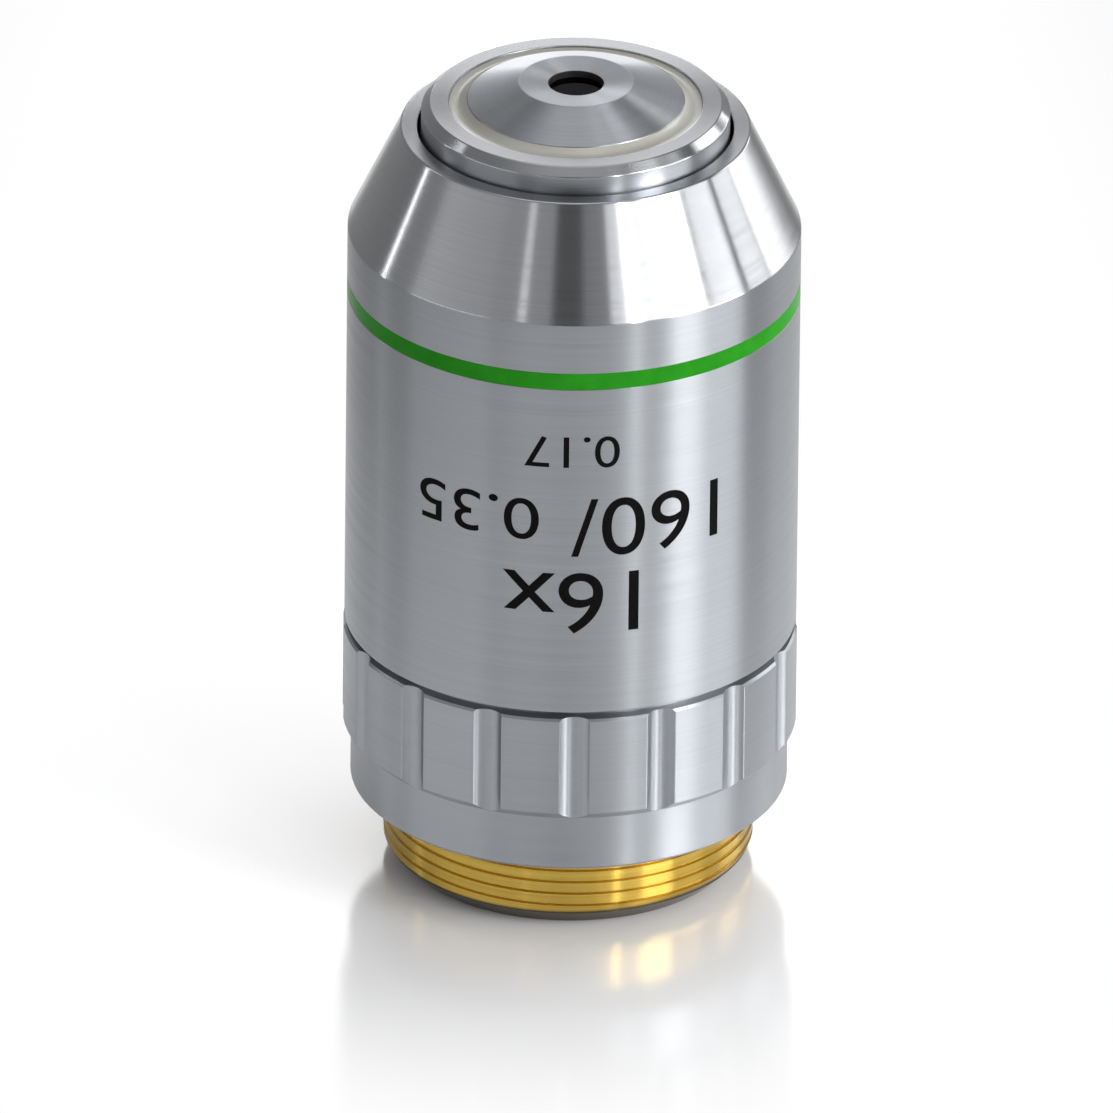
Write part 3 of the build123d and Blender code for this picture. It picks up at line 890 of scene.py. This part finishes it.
# Brass bush, with its ridge joined on
bush_section = [
    (LIGHT_BORE, THREAD_END),
    (THREAD_RADIUS - THREAD_LEAD, THREAD_END),
    (THREAD_ROOT, THREAD_END + THREAD_ROOT - THREAD_RADIUS + THREAD_LEAD),
    (THREAD_ROOT, -RELIEF_WIDTH),
    (RELIEF_RADIUS, -RELIEF_WIDTH),
    (RELIEF_RADIUS, SEAT_RECESS),
    (BUSH_RADIUS, SEAT_RECESS),
    (BUSH_RADIUS, BUSH_TOP),
    (LIGHT_BORE, BUSH_TOP),
]
thread_depth = THREAD_RADIUS - THREAD_ROOT + RIDGE_ROOT
ridge_foot = THREAD_END + RIDGE_START
ridge_height = -RELIEF_WIDTH - ridge_foot
ridge_values = {
    "Radius": (THREAD_RADIUS - thread_depth / 2) * MM,
    "Depth": thread_depth * MM,
    "Crest": THREAD_CREST * MM,
    "Base": THREAD_BASE * MM,
    "Turns": ridge_height / THREAD_PITCH,
    "Foot": ridge_foot * MM,
    "Height": ridge_height * MM,
    "Lead Radius": (THREAD_RADIUS - THREAD_LEAD - RIDGE_SINK) * MM,
    "End": THREAD_END * MM,
    "Top": (-RELIEF_WIDTH + RIDGE_END) * MM,
}
ridge_shape = from_mesh(grown(make_ridge_tree(), ridge_values, thread_brass))
face_outwards(ridge_shape)
bush_shape = turned_shape(bush_section, BUSH_EASES)
face_outwards(bush_shape)
bush_shape.from_mesh(plain_mesh("ridge", ridge_shape))
thread = finished("brass_thread", plain_mesh("bush", bush_shape))
dress(thread, thread_brass, "thread_brass", "sleeve_body", "mount_thread")

# Spring, wound from the web up to the nose barrel's foot
barrel_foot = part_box("nose_barrel")[0].z / MM
spring_height = barrel_foot - WEB_TOP - SPRING_WIRE
spring_values = {
    "Radius": SPRING_RADIUS * MM,
    "Wire": SPRING_WIRE * MM,
    "Turns": spring_height / SPRING_PITCH,
    "Foot": (WEB_TOP + SPRING_WIRE / 2) * MM,
    "Height": spring_height * MM,
}
spring_shape = from_mesh(grown(make_coil_tree(), spring_values, spring_steel))
spring = finished("coil_spring", from_bmesh(spring_shape), SPRING_SHARP)
dress(spring, spring_steel, "spring_steel", "sleeve_body", "nose_spring")
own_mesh(spring)

# Nose barrel with its slot for the guide screw
barrel_section = [
    (CELL_BORE, barrel_foot),
    (LAND_RADIUS, barrel_foot),
    (LAND_RADIUS, barrel_foot + LOWER_LAND),
    (LAND_RELIEF, barrel_foot + LOWER_LAND),
    (LAND_RELIEF, UPPER_LAND_FOOT),
    (LAND_RADIUS, UPPER_LAND_FOOT),
    (LAND_RADIUS, STOP_FOOT),
    (NOSE_RADIUS, STOP_FOOT),
    (NOSE_RADIUS, NOSE_TOP - NOSE_BEVEL),
    (NOSE_RADIUS - NOSE_BEVEL, NOSE_TOP),
    (RIM_BORE, NOSE_TOP),
    (RIM_BORE, RIM_FLOOR),
    (SHANK_BORE, RIM_FLOOR),
    (SHANK_BORE, LIP_FOOT),
    (CELL_BORE, LIP_FOOT),
]
barrel = turned("nose_barrel_turned", barrel_section, BARREL_EASES)
cutter_shape = bmesh.new()
slot_middle = (0, -(SLOT_FLOOR + SLOT_CUT / 2) * MM, (SLOT_FOOT + SLOT_TOP) / 2 * MM)
slot_size = (SLOT_WIDTH * MM, SLOT_CUT * MM, (SLOT_TOP - SLOT_FOOT) * MM, 1)
slot_box = Matrix.Translation(slot_middle) @ Matrix.Diagonal(slot_size)
bmesh.ops.create_cube(cutter_shape, size=1, matrix=slot_box)
cutter = bpy.data.objects.new("slot_cutter", from_bmesh(cutter_shape))
scene.collection.objects.link(cutter)
cut = barrel.modifiers.new("slot", "BOOLEAN")
cut.operation = "DIFFERENCE"
cut.solver = "EXACT"
cut.object = cutter
cut_graph = bpy.context.evaluated_depsgraph_get()
cut_mesh = bpy.data.meshes.new_from_object(barrel.evaluated_get(cut_graph))
bpy.data.objects.remove(barrel)
bpy.data.objects.remove(cutter)
barrel = finished("nose_barrel_slotted", cut_mesh)
dress(barrel, satin_plate, "satin_plate", "sliding_nose", "nose_barrel")
paint_faces(barrel, black_metal, lambda radius, height: radius < SHANK_BORE + FIT_GAP)
# The rim and chamfer take the smoother plate with its painted lighter colour
paint_faces(
    barrel,
    cone_plate_lit,
    lambda radius, height: radius > RIM_BORE + FIT_GAP and height > MOUTH_FOOT,
)

# Front cell and cement
cell_section = [
    (CELL_MOUTH, CELL_FOOT),
    (CELL_RADIUS, CELL_FOOT),
    (CELL_RADIUS, LIP_FOOT),
    (SHANK_RADIUS, LIP_FOOT),
    (SHANK_RADIUS, SHANK_TOP),
    (TIP_RADIUS, TIP_TOP),
    (PUPIL_RADIUS, DISH_FLOOR),
    (PUPIL_RADIUS, LENS_SEAT),
    (LENS_BORE, LENS_SEAT),
    (LENS_BORE, LENS_VERTEX),
]
front_cell = turned("front_cell_turned", cell_section, CELL_EASES)
dress(front_cell, satin_plate, "satin_plate", "sliding_nose", "front_cell")
paint_faces(
    front_cell,
    black_metal,
    lambda radius, height: radius < BLACKED_RADIUS and height < DISH_FLOOR,
)

cement_inner = SHANK_RADIUS + FIT_GAP
cement_outer = RIM_BORE - FIT_GAP
cement_section = [(cement_inner, RIM_FLOOR), (cement_outer, RIM_FLOOR)]
for step in range(CEMENT_STEPS + 1):
    share = step / CEMENT_STEPS
    climb = CEMENT_CLIMB * share**3 - CEMENT_HOLLOW * (1 - (2 * share - 1) ** 2)
    cement_section.append((cement_outer + (cement_inner - cement_outer) * share, CEMENT_TOP + climb))
cement = turned("milky_cement", cement_section, {})
dress(cement, rim_cement, "rim_cement", "sliding_nose", "cement_ring")

# Inner pieces: the solids' own shapes, welded and smoothed
record_slots = {row["node"]: row["material_slot"] for row in frame["record"]["subparts"]}
shown_elsewhere = {
    "outer_sleeve",
    "colour_band",
    "grip_body",
    "mount_thread",
    "nose_spring",
    "nose_barrel",
    "front_cell",
    "cement_ring",
}
for node_name, node in frame["nodes"].items():
    if node_name in shown_elsewhere:
        continue
    inner_shape = from_mesh(node.data)
    bmesh.ops.remove_doubles(inner_shape, verts=inner_shape.verts, dist=NODE_WELD)
    inner = finished(node_name + "_smooth", plain_mesh(node_name, inner_shape), INNER_SHARP)
    slot_name = record_slots[node_name]
    # The front lens takes the glass painted dark for the shade inside
    inner_finish = front_glass_painted_dark if node_name == "front_lens" else SLOT_MATERIALS[slot_name]
    dress(inner, inner_finish, slot_name, node["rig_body"], node_name)


# Filled marks on the sleeve, upright when the nose points down

def mark(name, text, cap, angle, height, stretch):
    """Wrap black figures round the sleeve: their size, the place of their middle, their widening."""
    curve = bpy.data.curves.new(name, "FONT")
    curve.body = text
    curve.align_x = "CENTER"
    curve.align_y = "CENTER"
    curve.extrude = MARK_HALF
    flat = bpy.data.objects.new(name, curve)
    scene.collection.objects.link(flat)
    depsgraph = bpy.context.evaluated_depsgraph_get()
    shape = from_mesh(bpy.data.meshes.new_from_object(flat.evaluated_get(depsgraph)))
    bpy.data.objects.remove(flat)
    low = min(vertex.co.y for vertex in shape.verts)
    high = max(vertex.co.y for vertex in shape.verts)
    left = min(vertex.co.x for vertex in shape.verts)
    right = max(vertex.co.x for vertex in shape.verts)
    grow = cap / (high - low)
    middle = Vector(((left + right) / 2, (low + high) / 2, 0))
    for vertex in shape.verts:
        place = vertex.co - middle
        depth = math.copysign(MARK_HALF, place.z)
        vertex.co = Vector((-place.x * grow * stretch, -place.y * grow, depth))
    reach = (right - left) / 2 * grow * stretch
    cuts = math.ceil(reach / MARK_STRIP)
    for step in range(-cuts, cuts + 1):
        bmesh.ops.bisect_plane(
            shape,
            geom=shape.verts[:] + shape.edges[:] + shape.faces[:],
            plane_co=(step * MARK_STRIP, 0, 0),
            plane_no=(1, 0, 0),
        )
    for vertex in shape.verts:
        turn = vertex.co.x / SLEEVE_RADIUS + math.radians(angle)
        radius = SLEEVE_RADIUS - MARK_SINK + vertex.co.z
        level = height + vertex.co.y
        vertex.co = Vector((radius * math.sin(turn), -radius * math.cos(turn), level)) * MM
    piece = finished(name, from_bmesh(shape), MARK_SHARP)
    dress(piece, mark_paint, "black_metal", "sleeve_body")


mark("power_mark", "16x", 3.7, VIEW_AZIMUTH, 16.6, 1.1)
mark("tube_mark", "160/", 3.5, VIEW_AZIMUTH + 20, 21.2, 1.1)
mark("aperture_mark", "0.35", 2.5, VIEW_AZIMUTH - 25, 21.6, 1.25)
mark("cover_mark", "0.17", 1.9, VIEW_AZIMUTH, 25.8, 1.15)


# Floor, lamps, surroundings and camera

def whiten(tree, shader):
    """Fade a floor to white and then to grey, as seen by the camera, metal and glass.

    From below it is clear, so that the thread's end can be looked at.
    """
    place = add(tree, "ShaderNodeTexCoord").outputs["Object"]
    reach = off_axis(tree, add(tree, "ShaderNodeSeparateXYZ", {0: place}))
    fade = smooth_step(tree, reach, WHITE_START * MM, WHITE_END * MM)
    rays = add(tree, "ShaderNodeLightPath").outputs
    seen = math_node(tree, "MAXIMUM", rays["Is Camera Ray"], rays["Is Glossy Ray"])
    seen = math_node(tree, "MAXIMUM", seen, rays["Is Transmission Ray"])
    share = math_node(tree, "MULTIPLY", seen, fade)
    # Painted pool of light: the floor's white glow is full in a long pool and dims to grey outside it
    spread_out = add(tree, "ShaderNodeVectorMath", {0: place}, operation="MULTIPLY")
    spread_out.inputs[1].default_value = (1 / POOL_WIDTH / MM, 1 / POOL_LENGTH / MM, 0)
    squared = add(
        tree,
        "ShaderNodeVectorMath",
        {0: spread_out.outputs[0], 1: spread_out.outputs[0]},
        operation="DOT_PRODUCT",
    ).outputs["Value"]
    level = smooth_step(tree, squared, 1.0, POOL_FADE, 1.0, POOL_EDGE)
    white = add(tree, "ShaderNodeEmission", {"Strength": level})
    mixed = add(tree, "ShaderNodeMixShader", {0: share, 1: shader.outputs[0], 2: white.outputs[0]})
    under = add(tree, "ShaderNodeNewGeometry").outputs["Backfacing"]
    clear = add(tree, "ShaderNodeBsdfTransparent")
    sided = add(tree, "ShaderNodeMixShader", {0: under, 1: mixed.outputs[0], 2: clear.outputs[0]})
    tree.links.new(sided.outputs[0], tree.nodes["Material Output"].inputs["Surface"])


def make_floor():
    """A wide pale floor with a soft polish, under the thread's end."""
    shape = bmesh.new()
    bmesh.ops.create_grid(shape, x_segments=1, y_segments=1, size=FLOOR_REACH)
    for vertex in shape.verts:
        vertex.co.z = THREAD_END * MM
    mesh = plain_mesh("floor", shape)
    floor = bpy.data.objects.new("floor", mesh)
    scene.collection.objects.link(floor)
    dark, light = (0.72, 0.72, 0.725), (0.74, 0.74, 0.745)
    material = mottled("floor_board", dark, light, (0.12, 0.16), FLOOR_SPOTS)
    shader = material.node_tree.nodes["Principled BSDF"]
    shader.inputs["IOR"].default_value = FLOOR_INDEX
    whiten(material.node_tree, shader)
    mesh.materials.append(material)


def direction(azimuth, elevation):
    """Unit vector; azimuth 0 is towards the viewer and grows to the viewer's right."""
    turn, rise = math.radians(azimuth), math.radians(elevation)
    flat = math.cos(rise)
    return Vector((math.sin(turn) * flat, -math.cos(turn) * flat, math.sin(rise)))


def softbox(name, azimuth, elevation, distance, width, height, radiance):
    """A rectangular lamp that faces the object; radiance is its brightness in reflections."""
    lamp = bpy.data.lights.new(name, "AREA")
    lamp.shape = "RECTANGLE"
    lamp.size = width
    lamp.size_y = height
    lamp.energy = radiance * math.pi * width * height
    holder = bpy.data.objects.new(name, lamp)
    scene.collection.objects.link(holder)
    away = direction(azimuth, elevation)
    holder.location = away * distance + Vector((0, 0, LAMP_AIM))
    holder.rotation_euler = away.to_track_quat("Z", "Y").to_euler()
    holder.visible_camera = False


def fill_ramp(ramp, levels):
    """Set a ramp's stops to grey levels."""
    stops = ramp.color_ramp.elements
    while len(stops) > 1:
        stops.remove(stops[-1])
    stops[0].position = levels[0][0]
    for position, _ in levels[1:]:
        stops.new(position)
    for stop, (_, level) in zip(stops, levels):
        stop.color = (level, level, level * SKY_BLUE, 1)


def make_world():
    """Soft surroundings: pale behind, dim around the viewer and at a gap on the right, grey overhead."""
    world = bpy.data.worlds.new("studio")
    scene.world = world
    world.use_nodes = True
    tree = world.node_tree
    shader = tree.nodes["Background"]
    place = add(tree, "ShaderNodeTexCoord").outputs["Generated"]
    parts = add(tree, "ShaderNodeSeparateXYZ", {0: place})
    front = math_node(tree, "MULTIPLY", parts.outputs["Y"], -1.0)
    azimuth = math_node(tree, "ARCTAN2", parts.outputs["X"], front)
    turn = math_node(tree, "MULTIPLY_ADD", azimuth, 0.5 / math.pi)
    turn.node.inputs[2].default_value = 0.5
    ramp = tree.nodes.new("ShaderNodeValToRGB")
    tree.links.new(turn, ramp.inputs[0])
    fill_ramp(ramp, [(degrees / 360 + 0.5, level) for degrees, level in AROUND])
    sky = tree.nodes.new("ShaderNodeValToRGB")
    tree.links.new(parts.outputs["Z"], sky.inputs[0])
    fill_ramp(sky, ABOVE)
    high = smooth_step(tree, parts.outputs["Z"], BLEND_START, BLEND_END)
    tone = add(tree, "ShaderNodeMix", data_type="RGBA")
    tree.links.new(high, tone.inputs[0])
    tree.links.new(ramp.outputs[0], tone.inputs["A"])
    tree.links.new(sky.outputs[0], tone.inputs["B"])
    tree.links.new(tone.outputs["Result"], shader.inputs["Color"])


def make_camera():
    """A long lens at the photograph's angle."""
    back = direction(VIEW_AZIMUTH, VIEW_ELEVATION)
    right = Vector((0, 0, 1)).cross(back).normalized()
    up = back.cross(right)
    roll = math.radians(VIEW_ROLL)
    side = right * math.cos(roll) + up * math.sin(roll)
    top = up * math.cos(roll) - right * math.sin(roll)
    target = (Vector((0, 0, VIEW_HEIGHT)) + right * VIEW_RIGHT + up * VIEW_UP) * MM
    data = bpy.data.cameras.new("camera")
    data.sensor_width = SENSOR_WIDTH
    data.lens = SENSOR_WIDTH * VIEW_DISTANCE / (VIEW_WIDTH * MM)
    data.clip_start = CLIP_NEAR
    data.clip_end = CLIP_FAR
    camera = bpy.data.objects.new("camera", data)
    scene.collection.objects.link(camera)
    turn = Matrix((side, top, back)).transposed().to_4x4()
    camera.matrix_world = Matrix.Translation(target + back * VIEW_DISTANCE) @ turn
    scene.camera = camera


make_floor()
make_world()
make_camera()
for lamp_values in LAMPS:
    softbox(*lamp_values)
